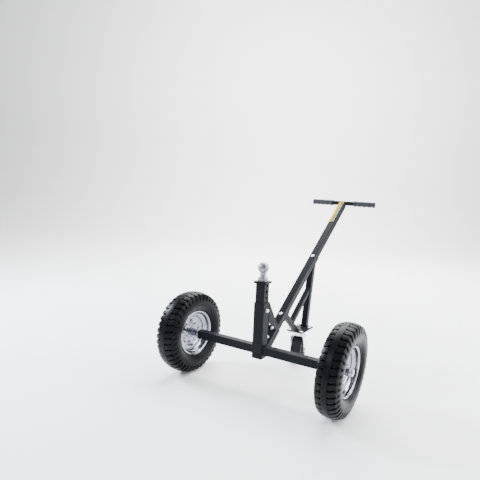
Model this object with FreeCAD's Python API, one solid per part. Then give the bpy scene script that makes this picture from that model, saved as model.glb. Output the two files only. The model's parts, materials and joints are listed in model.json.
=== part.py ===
import FreeCAD, Part
import math
import os
from FreeCAD import Vector

# Two-wheel trailer dolly with a swivel caster and a height-adjustable hitch ball.
# Millimetres. X runs along the axle, +Y back towards the pull handle, +Z up from the floor.
# Every shape is built with Y measured back from the axle line, then moved by AXLE_Y,
# so the finished row's origin is the bottom centre of its bounding box.

# ---------------------------------------------------------------- driving dimensions
# main wheels: 4.80/4.00-8 pneumatic tyres on two-piece stamped rims
TYRE_OD = 400.0
TYRE_WIDTH = 103.0
TREAD_WIDTH = 84.0
WHEEL_X = 396.0
RIM_FLANGE_R = 111.0
BEAD_SEAT_R = 101.6
RIM_SHEET = 2.0
HUB_R = 18.0
HUB_BORE_R = 16.0
HUB_IN = -49.0
HUB_OUT = 31.0
BEARING_LEN = 12.0
BEARING_BORE_R = 9.56
RIM_BOLT_R = 52.0
RIM_BOLT_COUNT = 4
VALVE_ANGLE = -25.0

# axle
AXLE_SIZE = 38.0
AXLE_WALL = 3.0
AXLE_END_X = 338.0
SPINDLE_R = 9.5
SPINDLE_END_X = 444.0
END_PLATE = 6.0

# post and ball
POST_SIZE = 50.0
POST_WALL = 3.0
POST_BOTTOM = 161.0
POST_TOP = 418.0
INNER_SIZE = 43.4
INNER_WALL = 4.0
INNER_BOTTOM = 203.0
INNER_TOP = 503.0
INDEX_PITCH = 27.5
INDEX_FIRST_Z = 219.0
INDEX_COUNT = 11
INDEX_HOLE_R = 6.5
PIN_Z = 384.0
PIN_R = 6.42
PIN_HEAD_R = 7.6
BALL_PLATE_SIZE = 60.0
BALL_PLATE_T = 8.0
BALL_R = 23.8
BALL_CENTRE_Z = 569.5
BALL_COLLAR_R = 21.5
BALL_SHANK_R = 9.5

# pull handle, its receiver and the gussets
HANDLE_ANGLE = 37.43
HANDLE_SIZE = 35.0
HANDLE_WALL = 2.5
HANDLE_CORNER = 2.0
HANDLE_Z0 = 162.1
RECEIVER_SIZE = 42.0
RECEIVER_WALL = 3.0
RECEIVER_END_Y = 136.0
GUSSET_T = 4.0
BAR_Y = 898.0
BAR_R = 12.0
BAR_WALL = 2.0
BAR_HALF = 188.0
GRIP_R = 15.0
GRIP_END_R = 16.5
GRIP_LEN = 125.0
GRIP_TIP = 191.0

# printed label near the top of the handle
LABEL_Y = 745.0
LABEL_LEN = 180.0
LABEL_T = 0.3
MARK_COUNT = 15
MARK_PITCH = 10.6

# rear frame
LEG_SIZE = 32.0
LEG_FOOT_Y = 473.5
LEG_LEAN = 0.1006
BRACE_SIZE = 24.0
BRACE_Z0 = 504.0
BRACE_SLOPE = -0.854
DIAGONAL_SIZE = 25.0
DIAGONAL_Z0 = 8.0
DIAGONAL_SLOPE = 0.8
THIN_WALL = 2.0
FLANGE_T = 5.0
DECK_TOP = 192.0
DECK_T = 5.0
DECK_HALF_X = 47.5
DECK_FRONT_Y = 350.0
DECK_BACK_Y = 490.0

# caster
SWIVEL_Y = 402.0
SWIVEL_ANGLE = 12.0
CASTER_PLATE_Y = 413.0
CASTER_PLATE_T = 5.0
CASTER_BOLT_X = 35.0
CASTER_BOLT_Y = 49.0
CASTER_R = 75.0
CASTER_WIDTH = 58.0
CASTER_TRAIL = 25.0
FORK_OUTER = 37.0
FORK_SHEET = 4.0
FORK_BEND_R = 16.0
CROWN_TOP = 165.0
KINGPIN_R = 7.0
CASTER_AXLE_R = 6.0
RUNNING = 0.06

# carriage bolts and nuts
BOLT_R = 4.0
BOLT_HEAD_R = 9.0
BOLT_HEAD_H = 4.5
NUT_FLATS = 13.0
NUT_H = 7.0
BOLT_HOLE_R = 4.3

# ---------------------------------------------------------------- derived values
AXLE_Z = TYRE_OD / 2.0
AXLE_Y = -(BAR_Y + GRIP_END_R - TYRE_OD / 2.0) / 2.0
SLOPE = math.tan(math.radians(HANDLE_ANGLE))
ALONG = Vector(0, math.cos(math.radians(HANDLE_ANGLE)), math.sin(math.radians(HANDLE_ANGLE)))
NORMAL = Vector(0, -ALONG.z, ALONG.y)
X_AXIS = Vector(1, 0, 0)
Y_AXIS = Vector(0, 1, 0)
Z_AXIS = Vector(0, 0, 1)
DECK_BOTTOM = DECK_TOP - DECK_T
CASTER_PLATE_BOTTOM = DECK_BOTTOM - CASTER_PLATE_T


# ---------------------------------------------------------------- helpers
def box(x0, x1, y0, y1, z0, z1):
    return Part.makeBox(x1 - x0, y1 - y0, z1 - z0, Vector(x0, y0, z0))


def rod(base, direction, radius, length):
    return Part.makeCylinder(radius, length, base, direction)


def ring(base, direction, outer, inner, length):
    return rod(base, direction, outer, length).cut(rod(base, direction, inner, length))


def place(shape, base, direction):
    moved = shape.copy()
    moved.Placement = FreeCAD.Placement(base, FreeCAD.Rotation(Z_AXIS, direction))
    return moved


def side_prism(points, x0, x1):
    corners = [Vector(x0, y, z) for y, z in points]
    face = Part.Face(Part.makePolygon(corners + corners[:1]))
    return face.extrude(Vector(x1 - x0, 0, 0))


def rounded_face(width, depth, radius):
    w = width / 2.0
    d = depth / 2.0
    k = radius * (1 - math.sqrt(0.5))
    edges = []
    for sx, sy in ((1, 1), (-1, 1), (-1, -1), (1, -1)):
        a = Vector(sx * w, sy * (d - radius), 0)
        b = Vector(sx * (w - radius), sy * d, 0)
        middle = Vector(sx * (w - k), sy * (d - k), 0)
        if sx * sy < 0:
            a, b = b, a
        edges.append((a, middle, b))
    lines = []
    for i, (a, middle, b) in enumerate(edges):
        following = edges[(i + 1) % 4][0]
        lines.append(Part.Arc(a, middle, b).toShape())
        lines.append(Part.makeLine(b, following))
    return Part.Face(Part.Wire(lines))


def square_tube(width, depth, wall, length, radius=3.0):
    outer = rounded_face(width, depth, radius).extrude(Vector(0, 0, length))
    inner = rounded_face(width - 2 * wall, depth - 2 * wall, max(radius - wall, 0.8))
    return outer.cut(inner.extrude(Vector(0, 0, length)))


def leaning(shape, y, z, angle):
    """Turn a member built along +Z so that it runs up at an angle in the YZ plane."""
    moved = shape.copy()
    turn = FreeCAD.Rotation(X_AXIS, angle - 90.0)
    moved.Placement = FreeCAD.Placement(Vector(0, y, z), turn)
    return moved


def revolved(points, base, direction):
    """Solid of revolution; points are (radius, height), or three of them for an arc."""
    edges = []
    for item in points:
        at = [Vector(r, 0, h) for r, h in item]
        if len(at) == 2:
            edges.append(Part.makeLine(at[0], at[1]))
        else:
            edges.append(Part.Arc(at[0], at[1], at[2]).toShape())
    face = Part.Face(Part.Wire(edges))
    return place(face.revolve(Vector(0, 0, 0), Z_AXIS, 360), base, direction)


def closed_lines(points):
    return [(points[i], points[(i + 1) % len(points)]) for i in range(len(points))]


def hexagon(flats, height, bore):
    reach = flats / math.sqrt(3)
    corners = []
    for i in range(6):
        angle = math.radians(60 * i + 30)
        corners.append(Vector(reach * math.cos(angle), reach * math.sin(angle), 0))
    prism = Part.Face(Part.makePolygon(corners + corners[:1])).extrude(Vector(0, 0, height))
    bevel = 0.8
    envelope = closed_lines(
        [
            (0, 0),
            (reach - bevel, 0),
            (reach + 0.4, bevel),
            (reach + 0.4, height - bevel),
            (reach - bevel, height),
            (0, height),
        ]
    )
    nut = prism.common(revolved(envelope, Vector(0, 0, 0), Z_AXIS))
    if bore > 0:
        nut = nut.cut(Part.makeCylinder(bore, height))
    return nut


def carriage_bolt(length):
    """Domed head above the origin, plain shank below it."""
    edges = [
        ((0, -length), (BOLT_R - 0.6, -length)),
        ((BOLT_R - 0.6, -length), (BOLT_R, -length + 0.6)),
        ((BOLT_R, -length + 0.6), (BOLT_R, 0)),
        ((BOLT_R, 0), (BOLT_HEAD_R, 0)),
        ((BOLT_HEAD_R, 0), (BOLT_HEAD_R, 0.8)),
        ((BOLT_HEAD_R, 0.8), (BOLT_HEAD_R * 0.66, BOLT_HEAD_H * 0.78), (1.5, BOLT_HEAD_H)),
        ((1.5, BOLT_HEAD_H), (0, BOLT_HEAD_H)),
        ((0, BOLT_HEAD_H), (0, -length)),
    ]
    return revolved(edges, Vector(0, 0, 0), Z_AXIS)


def flange_nut():
    collar = Part.makeCone(8.5, 7.2, 2.0)
    nut = hexagon(NUT_FLATS, NUT_H, 0).fuse(collar)
    return nut.cut(Part.makeCylinder(BOLT_R + 0.05, NUT_H)).removeSplitter()


def handle_point(y, offset):
    """Point at height offset from the handle's centre line, above centre-line point y."""
    return Vector(0, y, HANDLE_Z0 + SLOPE * y) + NORMAL * offset


def mirrored(shape):
    return shape.mirror(Vector(0, 0, 0), X_AXIS)


# ---------------------------------------------------------------- axle and spindles
def axle_tube():
    length = AXLE_END_X - POST_SIZE / 2.0
    tube = square_tube(AXLE_SIZE, AXLE_SIZE, AXLE_WALL, length)
    return place(tube, Vector(POST_SIZE / 2.0, 0, AXLE_Z), X_AXIS)


def stub_axle():
    half = AXLE_SIZE / 2.0
    plate = box(AXLE_END_X, AXLE_END_X + END_PLATE, -half, half, AXLE_Z - half, AXLE_Z + half)
    inside = half - AXLE_WALL - 0.5
    plug = box(AXLE_END_X - 25, AXLE_END_X, -inside, inside, AXLE_Z - inside, AXLE_Z + inside)
    start = AXLE_END_X + END_PLATE
    length = SPINDLE_END_X - start
    profile = closed_lines(
        [(0, 0), (SPINDLE_R, 0), (SPINDLE_R, length - 1.5), (SPINDLE_R - 1.5, length), (0, length)]
    )
    spindle = revolved(profile, Vector(start, 0, AXLE_Z), X_AXIS)
    return plate.fuse(plug).fuse(spindle).removeSplitter()


def axle_washers():
    x = WHEEL_X + HUB_OUT + 2.0
    washer = ring(Vector(x, 0, AXLE_Z), X_AXIS, 17.0, SPINDLE_R + 0.1, 2.0)
    return Part.makeCompound([washer, mirrored(washer)])


def axle_nuts():
    x = WHEEL_X + HUB_OUT + 4.0
    nut = place(hexagon(28.5, 9.5, SPINDLE_R + 0.05), Vector(x, 0, AXLE_Z), X_AXIS)
    return Part.makeCompound([nut, mirrored(nut)])


# ---------------------------------------------------------------- main wheels
def tyre():
    out = TYRE_WIDTH / 2.0
    top = TYRE_OD / 2.0
    tread = TREAD_WIDTH / 2.0
    bead = BEAD_SEAT_R + 0.2

    def half(s):
        return [
            ((top, 0), (top - 2.4, s * tread * 0.55), (top - 10.0, s * tread)),
            ((top - 10.0, s * tread), (top - 28.0, s * (out - 2.4)), (top - 52.0, s * out)),
            ((top - 52.0, s * out), (126.0, s * (out - 5.5)), (112.5, s * 38.0)),
            ((112.5, s * 38.0), (109.5, s * 32.0)),
            ((109.5, s * 32.0), (bead, s * 31.0)),
            ((bead, s * 31.0), (bead, s * 21.0)),
            ((bead, s * 21.0), (112.0, s * 25.0)),
            ((112.0, s * 25.0), (134.0, s * 43.0), (152.0, s * 45.5)),
            ((152.0, s * 45.5), (177.0, s * 36.0), (top - 10.0, 0)),
        ]

    profile = half(1) + [tuple(reversed(e)) for e in reversed(half(-1))]
    return revolved(profile, Vector(WHEEL_X, 0, AXLE_Z), X_AXIS)


def inner_tube():
    centre = Vector(WHEEL_X, 0, AXLE_Z)
    return Part.makeTorus(146, 38, centre, X_AXIS).cut(Part.makeTorus(146, 36, centre, X_AXIS))


def sheet_outline(points, thickness):
    """Closed outline of a bent sheet whose middle line passes through the points."""
    first = []
    second = []
    for i, (r, h) in enumerate(points):
        before = points[max(i - 1, 0)]
        after = points[min(i + 1, len(points) - 1)]
        normals = []
        for a, b in ((before, (r, h)), ((r, h), after)):
            dr = b[0] - a[0]
            dh = b[1] - a[1]
            size = math.hypot(dr, dh)
            if size > 0:
                normals.append((-dh / size, dr / size))
        nr = sum(n[0] for n in normals) / len(normals)
        nh = sum(n[1] for n in normals) / len(normals)
        scale = thickness / 2.0 / (nr * nr + nh * nh)
        first.append((r + nr * scale, h + nh * scale))
        second.append((r - nr * scale, h - nh * scale))
    return first + second[::-1]


def valve_line():
    """Start and unit direction of the valve stem, through the outer rim half."""
    angle = math.radians(VALVE_ANGLE)
    radial = Vector(0, math.cos(angle), math.sin(angle))
    start = Vector(WHEEL_X + 1.0, 0, AXLE_Z) + radial * 105.5
    end = Vector(WHEEL_X + 31.0, 0, AXLE_Z) + radial * 71.5
    direction = (end - start).normalize()
    return start, direction, (end - start).Length


def rim_half(side):
    """One stamped half: flat centre, pressed ring, bead seat and rolled flange."""
    seat = BEAD_SEAT_R - RIM_SHEET / 2.0
    line = [
        (HUB_R + 0.05, 1.0),
        (64.0, 1.0),
        (70.0, 7.0),
        (86.0, 7.0),
        (95.0, 13.0),
        (seat, 19.0),
        (seat, 31.5),
        (103.5, 33.6),
        (RIM_FLANGE_R - 1.5, 34.6),
        (RIM_FLANGE_R - 1.0, 36.5),
    ]
    outline = sheet_outline([(r, side * h) for r, h in line], RIM_SHEET)
    half = revolved(closed_lines(outline), Vector(WHEEL_X, 0, AXLE_Z), X_AXIS)
    for centre in rim_bolt_centres():
        half = half.cut(rod(centre - X_AXIS * 6, X_AXIS, BOLT_HOLE_R, 12))
    if side > 0:
        start, direction, length = valve_line()
        half = half.cut(rod(start, direction, 6.2, length))
    return half


def rim_bolt_centres():
    centres = []
    for i in range(RIM_BOLT_COUNT):
        angle = math.radians(82.0 + 360.0 * i / RIM_BOLT_COUNT)
        y = RIM_BOLT_R * math.cos(angle)
        z = RIM_BOLT_R * math.sin(angle)
        centres.append(Vector(WHEEL_X, y, AXLE_Z + z))
    return centres


def rim_bolts():
    bolt = carriage_bolt(16.0)
    heads = [place(bolt, c + X_AXIS * RIM_SHEET, X_AXIS) for c in rim_bolt_centres()]
    return Part.makeCompound(heads)


def rim_nuts():
    nut = flange_nut()
    back = X_AXIS * -1.0
    return Part.makeCompound([place(nut, c - X_AXIS * RIM_SHEET, back) for c in rim_bolt_centres()])


def hub():
    base = Vector(WHEEL_X + HUB_IN, 0, AXLE_Z)
    length = HUB_OUT - HUB_IN
    tube = ring(base, X_AXIS, HUB_R, HUB_BORE_R - 2.0, length)
    for x in (WHEEL_X + HUB_IN, WHEEL_X + HUB_OUT - BEARING_LEN):
        tube = tube.cut(rod(Vector(x, 0, AXLE_Z), X_AXIS, HUB_BORE_R, BEARING_LEN))
    return tube


def bearings():
    """Two flanged bearings, their flanges against the hub's ends."""
    solids = []
    for end, out in ((HUB_IN, -1.0), (HUB_OUT, 1.0)):
        profile = closed_lines(
            [
                (BEARING_BORE_R, -BEARING_LEN),
                (HUB_BORE_R, -BEARING_LEN),
                (HUB_BORE_R, 0),
                (HUB_R, 0),
                (HUB_R, 1.0),
                (HUB_R - 0.5, 1.5),
                (BEARING_BORE_R, 1.5),
            ]
        )
        solids.append(revolved(profile, Vector(WHEEL_X + end, 0, AXLE_Z), X_AXIS * out))
    return Part.makeCompound(solids)


def valve():
    start, direction, length = valve_line()
    profile = closed_lines(
        [
            (0, 0),
            (6.0, 0),
            (6.0, length - 16.0),
            (4.2, length - 14.0),
            (4.2, length - 12.0),
            (5.0, length - 12.0),
            (5.0, length - 1.0),
            (4.0, length),
            (0, length),
        ]
    )
    stem = revolved(profile, start, direction)
    air = Part.makeTorus(146, 38, Vector(WHEEL_X, 0, AXLE_Z), X_AXIS)
    return stem.cut(air)


# ---------------------------------------------------------------- post and hitch ball
def post_outer():
    tube = square_tube(POST_SIZE, POST_SIZE, POST_WALL, POST_TOP - POST_BOTTOM)
    tube = place(tube, Vector(0, 0, POST_BOTTOM), Z_AXIS)
    return tube.cut(rod(Vector(-POST_SIZE, 0, PIN_Z), X_AXIS, INDEX_HOLE_R, 2 * POST_SIZE))


def inner_post():
    tube = square_tube(INNER_SIZE, INNER_SIZE, INNER_WALL, INNER_TOP - INNER_BOTTOM, 2.6)
    tube = place(tube, Vector(0, 0, INNER_BOTTOM), Z_AXIS)
    for i in range(INDEX_COUNT):
        z = INDEX_FIRST_Z + i * INDEX_PITCH
        tube = tube.cut(rod(Vector(-INNER_SIZE, 0, z), X_AXIS, INDEX_HOLE_R, 2 * INNER_SIZE))
    return tube


def lock_pin():
    """Pin pushed in from +X, with a stop collar, a waisted knob and a bevelled nose."""
    head = POST_SIZE / 2.0 + 0.3
    nose = -POST_SIZE / 2.0 - 9.0
    shank = head - nose
    profile = closed_lines(
        [
            (0, 0),
            (PIN_R - 2.0, 0),
            (PIN_R, 2.5),
            (PIN_R, shank),
            (PIN_HEAD_R, shank),
            (PIN_HEAD_R, shank + 1.2),
            (PIN_R - 1.2, shank + 2.0),
            (PIN_R - 1.2, shank + 4.5),
            (PIN_HEAD_R, shank + 6.0),
            (PIN_HEAD_R, shank + 8.5),
            (PIN_HEAD_R - 1.2, shank + 9.5),
            (0, shank + 9.5),
        ]
    )
    return revolved(profile, Vector(nose, 0, PIN_Z), X_AXIS)


def ball_plate():
    plate = rounded_face(BALL_PLATE_SIZE, BALL_PLATE_SIZE, 4.0).extrude(Vector(0, 0, BALL_PLATE_T))
    plate = place(plate, Vector(0, 0, INNER_TOP), Z_AXIS)
    return plate.cut(rod(Vector(0, 0, INNER_TOP), Z_AXIS, BALL_SHANK_R + 0.3, BALL_PLATE_T))


def hitch_ball():
    """Ball, waisted neck, collar with two wrench flats, and shank through the plate."""
    base = INNER_TOP + BALL_PLATE_T
    centre = BALL_CENTRE_Z - base
    neck_r = 13.5
    under = centre - math.sqrt(BALL_R**2 - (neck_r + 1.0) ** 2)
    flat_r = 8.0
    top = centre + math.sqrt(BALL_R**2 - flat_r**2)
    edges = [
        ((0, -33.0), (BALL_SHANK_R - 1.0, -33.0)),
        ((BALL_SHANK_R - 1.0, -33.0), (BALL_SHANK_R, -32.0)),
        ((BALL_SHANK_R, -32.0), (BALL_SHANK_R, 0)),
        ((BALL_SHANK_R, 0), (BALL_COLLAR_R - 1.0, 0)),
        ((BALL_COLLAR_R - 1.0, 0), (BALL_COLLAR_R, 1.0)),
        ((BALL_COLLAR_R, 1.0), (BALL_COLLAR_R, 15.0)),
        ((BALL_COLLAR_R, 15.0), (neck_r + 1.5, 22.0), (neck_r, 29.0)),
        ((neck_r, 29.0), (neck_r + 0.2, (29.0 + under) / 2), (neck_r + 1.0, under)),
        ((neck_r + 1.0, under), (BALL_R, centre), (flat_r, top)),
        ((flat_r, top), (0, top)),
        ((0, top), (0, -33.0)),
    ]
    ball = revolved(edges, Vector(0, 0, base), Z_AXIS)
    for s in (-1, 1):
        x0, x1 = sorted((s * 19.0, s * 30.0))
        ball = ball.cut(box(x0, x1, -30, 30, base + 3.0, base + 13.0))
    return ball


def ball_washer():
    return ring(Vector(0, 0, INNER_TOP - 3.0), Z_AXIS, 15.5, BALL_SHANK_R + 0.1, 3.0)


def ball_nut():
    nut = hexagon(28.5, 16.0, BALL_SHANK_R + 0.05)
    return place(nut, Vector(0, 0, INNER_TOP - 19.0), Z_AXIS)


# ---------------------------------------------------------------- handle, receiver, gussets
def bolt_hole(y, offset):
    top = handle_point(y, offset)
    return rod(top + NORMAL * 5, NORMAL * -1.0, BOLT_HOLE_R, 70)


def handle_bolt_feet():
    """Centre-line Y of each bolt through the handle, and the height of the face it sits on."""
    through_tube = HANDLE_SIZE / 2.0
    through_receiver = RECEIVER_SIZE / 2.0
    return [
        (519.0, through_tube, -through_tube - FLANGE_T),
        (194.6, through_tube, -through_tube - FLANGE_T),
        (119.0, through_receiver, -through_receiver),
        (77.0, through_receiver, -through_receiver),
    ]


def receiver():
    tube = square_tube(RECEIVER_SIZE, RECEIVER_SIZE, RECEIVER_WALL, 220.0)
    start = handle_point(RECEIVER_END_Y, 0) - ALONG * 220.0
    tube = leaning(tube, start.y, start.z, HANDLE_ANGLE)
    keep = side_prism(
        [(POST_SIZE / 2.0, POST_BOTTOM), (400, POST_BOTTOM), (400, 600), (POST_SIZE / 2.0, 600)],
        -30,
        30,
    )
    tube = tube.common(keep)
    for y, top, _ in handle_bolt_feet()[2:]:
        tube = tube.cut(bolt_hole(y, top))
    return tube


def handle_tube():
    start = handle_point(42.0, 0)
    end = handle_point(BAR_Y, 0) - ALONG * BAR_R
    length = (end - start).Length
    tube = square_tube(HANDLE_SIZE, HANDLE_SIZE, HANDLE_WALL, length, HANDLE_CORNER)
    tube = leaning(tube, start.y, start.z, HANDLE_ANGLE)
    for y, top, _ in handle_bolt_feet():
        tube = tube.cut(bolt_hole(y, top))
    return tube


def gusset():
    """Side plate from the top of the post down to the end of the receiver."""
    inner = RECEIVER_SIZE / 2.0
    outline = [(25.0, 418.0), (25.0, 324.0), (56.0, 304.0), (106.0, 266.0), (122.0, 276.0)]
    return side_prism(outline, inner, inner + GUSSET_T)


def handle_bolts():
    bolts = []
    for y, top, _ in handle_bolt_feet():
        bolts.append(place(carriage_bolt(54.0), handle_point(y, top), NORMAL))
    return Part.makeCompound(bolts)


def handle_nuts():
    nuts = []
    for y, _, under in handle_bolt_feet():
        nuts.append(place(flange_nut(), handle_point(y, under), NORMAL * -1.0))
    return Part.makeCompound(nuts)


def t_bar():
    centre = handle_point(BAR_Y, 0)
    base = centre - X_AXIS * BAR_HALF
    return ring(base, X_AXIS, BAR_R, BAR_R - BAR_WALL, 2 * BAR_HALF)


def grip():
    """Closed-end rubber grip with four finger grooves."""
    start = GRIP_TIP - GRIP_LEN
    centre = handle_point(BAR_Y, 0)
    edges = [((BAR_R, 0), (GRIP_END_R, 0)), ((GRIP_END_R, 0), (GRIP_END_R, 4.0))]
    edges.append(((GRIP_END_R, 4.0), (GRIP_R, 6.0)))
    at = 6.0
    pitch = (GRIP_LEN - 12.0) / 4.0
    for i in range(4):
        after = at + pitch
        edges.append(((GRIP_R, at), (GRIP_R - 1.8, at + pitch / 2.0), (GRIP_R, after)))
        at = after
    tip = GRIP_LEN
    edges += [
        ((GRIP_R, at), (GRIP_END_R, at + 2.0)),
        ((GRIP_END_R, at + 2.0), (GRIP_END_R, tip - 2.0)),
        ((GRIP_END_R, tip - 2.0), (GRIP_END_R - 2.0, tip)),
        ((GRIP_END_R - 2.0, tip), (0, tip)),
        ((0, tip), (0, BAR_HALF - start)),
        ((0, BAR_HALF - start), (BAR_R, BAR_HALF - start)),
        ((BAR_R, BAR_HALF - start), (BAR_R, 0)),
    ]
    return revolved(edges, centre + X_AXIS * start, X_AXIS)


def label_stripe():
    """Long stripe near the top of the handle, and a short block at the head of the marks."""
    base = handle_point(LABEL_Y, HANDLE_SIZE / 2.0)
    stripe = on_handle(Part.makeBox(14.0, LABEL_LEN, LABEL_T), base + X_AXIS * -17.0)
    block = Part.makeBox(12.0, 9.0, LABEL_T)
    block = on_handle(block, base + X_AXIS * -1.0 + ALONG * (LABEL_LEN - 10.0))
    return Part.makeCompound([stripe, block])


def on_handle(shape, corner):
    moved = shape.copy()
    turn = FreeCAD.Rotation(X_AXIS, HANDLE_ANGLE)
    moved.Placement = FreeCAD.Placement(corner, turn)
    return moved


def label_marks():
    """Row of plain blocks beside the stripe, every third one narrower."""
    base = handle_point(LABEL_Y, HANDLE_SIZE / 2.0)
    solids = []
    for i in range(MARK_COUNT):
        width = 7.0 if i % 3 == 2 else 9.5
        mark = Part.makeBox(width, MARK_PITCH - 4.6, LABEL_T)
        solids.append(on_handle(mark, base + X_AXIS * 0.5 + ALONG * (6.0 + MARK_PITCH * i)))
    return Part.makeCompound(solids)


# ---------------------------------------------------------------- rear frame
def under_handle(y):
    return HANDLE_Z0 + SLOPE * y - HANDLE_SIZE / 2.0 / ALONG.y


def flange_under(s0, s1, bolt_y):
    """Plate lying against the handle's underside between two centre-line Y values."""
    half = HANDLE_SIZE / 2.0
    corners = []
    for y, drop in ((s0, 0.0), (s1, 0.0), (s1, FLANGE_T), (s0, FLANGE_T)):
        p = handle_point(y, -half - drop)
        corners.append((p.y, p.z))
    plate = side_prism(corners, -half, half)
    return plate.cut(bolt_hole(bolt_y, half))


def below_flange():
    """Everything under the flange plates and above the deck."""
    near = handle_point(100.0, -HANDLE_SIZE / 2.0 - FLANGE_T)
    far = handle_point(700.0, -HANDLE_SIZE / 2.0 - FLANGE_T)
    return side_prism([(near.y, DECK_TOP), (far.y, DECK_TOP), (far.y, far.z), (near.y, near.z)], -40, 40)


def leg_flange():
    return flange_under(481.0, 541.0, handle_bolt_feet()[0][0])


def brace_flange():
    return flange_under(182.0, 232.0, handle_bolt_feet()[1][0])


def leg():
    angle = 90.0 - math.degrees(math.atan(LEG_LEAN))
    tube = square_tube(LEG_SIZE, LEG_SIZE, THIN_WALL, 500.0)
    drop = 40.0
    tube = leaning(tube, LEG_FOOT_Y - LEG_LEAN * drop, DECK_TOP - drop, angle)
    return tube.common(below_flange())


def brace():
    angle = 180.0 + math.degrees(math.atan(BRACE_SLOPE))
    tube = square_tube(BRACE_SIZE, BRACE_SIZE, THIN_WALL, 320.0)
    y = 420.0
    tube = leaning(tube, y, BRACE_Z0 + BRACE_SLOPE * y, angle)
    return tube.common(below_flange())


def diagonal():
    """Member parallel to the handle, from the brace's back face to the leg's front face."""
    angle = math.degrees(math.atan(DIAGONAL_SLOPE))
    tube = square_tube(DIAGONAL_SIZE, DIAGONAL_SIZE, THIN_WALL, 420.0)
    tube = leaning(tube, 240.0, DIAGONAL_Z0 + DIAGONAL_SLOPE * 240.0, angle)
    behind = BRACE_SIZE / 2.0 * math.sqrt(1 + BRACE_SLOPE**2)
    front = LEG_SIZE / 2.0 * math.sqrt(1 + LEG_LEAN**2)
    low = 200.0
    high = 500.0
    brace_low = (low - BRACE_Z0 - behind) / BRACE_SLOPE
    brace_high = (high - BRACE_Z0 - behind) / BRACE_SLOPE
    leg_low = LEG_FOOT_Y + LEG_LEAN * (low - DECK_TOP) - front
    leg_high = LEG_FOOT_Y + LEG_LEAN * (high - DECK_TOP) - front
    space = side_prism([(brace_low, low), (leg_low, low), (leg_high, high), (brace_high, high)], -40, 40)
    return tube.common(space)


def deck_bolt_spots():
    spots = []
    for sx in (-1, 1):
        for sy in (-1, 1):
            spots.append((sx * CASTER_BOLT_X, CASTER_PLATE_Y + sy * CASTER_BOLT_Y))
    return spots


def deck_plate():
    width = 2 * DECK_HALF_X
    depth = DECK_BACK_Y - DECK_FRONT_Y
    plate = rounded_face(width, depth, 6.0).extrude(Vector(0, 0, DECK_T))
    plate = place(plate, Vector(0, (DECK_BACK_Y + DECK_FRONT_Y) / 2.0, DECK_BOTTOM), Z_AXIS)
    for x, y in deck_bolt_spots():
        plate = plate.cut(rod(Vector(x, y, DECK_BOTTOM), Z_AXIS, BOLT_HOLE_R, DECK_T))
    return plate


def deck_bolts():
    bolts = [place(carriage_bolt(20.0), Vector(x, y, DECK_TOP), Z_AXIS) for x, y in deck_bolt_spots()]
    return Part.makeCompound(bolts)


def deck_nuts():
    nuts = []
    for x, y in deck_bolt_spots():
        nuts.append(place(flange_nut(), Vector(x, y, CASTER_PLATE_BOTTOM), Z_AXIS * -1.0))
    return Part.makeCompound(nuts)


# ---------------------------------------------------------------- caster
def caster_plate():
    """Bolt-on top plate with the drum of the swivel bearing pressed down from it."""
    plate = rounded_face(92.0, 118.0, 6.0).extrude(Vector(0, 0, CASTER_PLATE_T))
    plate = place(plate, Vector(0, CASTER_PLATE_Y, CASTER_PLATE_BOTTOM), Z_AXIS)
    drop = CASTER_PLATE_BOTTOM - CROWN_TOP - 2.0
    profile = closed_lines(
        [
            (24.0, 0),
            (35.0, 0),
            (35.0, drop * 0.35),
            (32.0, drop),
            (26.0, drop),
        ]
    )
    drum = revolved(profile, Vector(0, SWIVEL_Y, CASTER_PLATE_BOTTOM), Z_AXIS * -1.0)
    plate = plate.fuse(drum).removeSplitter()
    for x, y in deck_bolt_spots():
        plate = plate.cut(rod(Vector(x, y, CASTER_PLATE_BOTTOM), Z_AXIS, BOLT_HOLE_R, CASTER_PLATE_T))
    return plate.cut(rod(Vector(0, SWIVEL_Y, CASTER_PLATE_BOTTOM), Z_AXIS, KINGPIN_R, CASTER_PLATE_T))


def kingpin():
    """Riveted pin through the top plate and the fork's crown."""
    bottom = CROWN_TOP - FORK_SHEET - 6.0
    height = DECK_BOTTOM - bottom
    profile = closed_lines(
        [
            (0, 0),
            (9.0, 0),
            (12.0, 2.5),
            (12.0, 5.5),
            (KINGPIN_R, 5.5),
            (KINGPIN_R, height),
            (0, height),
        ]
    )
    return revolved(profile, Vector(0, SWIVEL_Y, bottom), Z_AXIS)


def swivelled(shape):
    """Turn a caster piece from straight ahead to its resting angle about the swivel."""
    moved = shape.copy()
    moved.rotate(Vector(0, SWIVEL_Y, 0), Z_AXIS, SWIVEL_ANGLE)
    return moved


def arch(half, top, radius, y0, y1):
    """Solid under an upside-down U, as wide as twice half and bent over at radius."""
    k = radius * (1 - math.sqrt(0.5))
    left = [Vector(-half, y0, top - radius), Vector(-half + k, y0, top - k), Vector(-half + radius, y0, top)]
    right = [Vector(-p.x, p.y, p.z) for p in reversed(left)]
    foot = [Vector(half, y0, 0), Vector(-half, y0, 0)]
    edges = [
        Part.Arc(*left).toShape(),
        Part.makeLine(left[2], right[0]),
        Part.Arc(*right).toShape(),
        Part.makeLine(right[2], foot[0]),
        Part.makeLine(foot[0], foot[1]),
        Part.makeLine(foot[1], left[0]),
    ]
    return Part.Face(Part.Wire(edges)).extrude(Vector(0, y1 - y0, 0))


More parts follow.
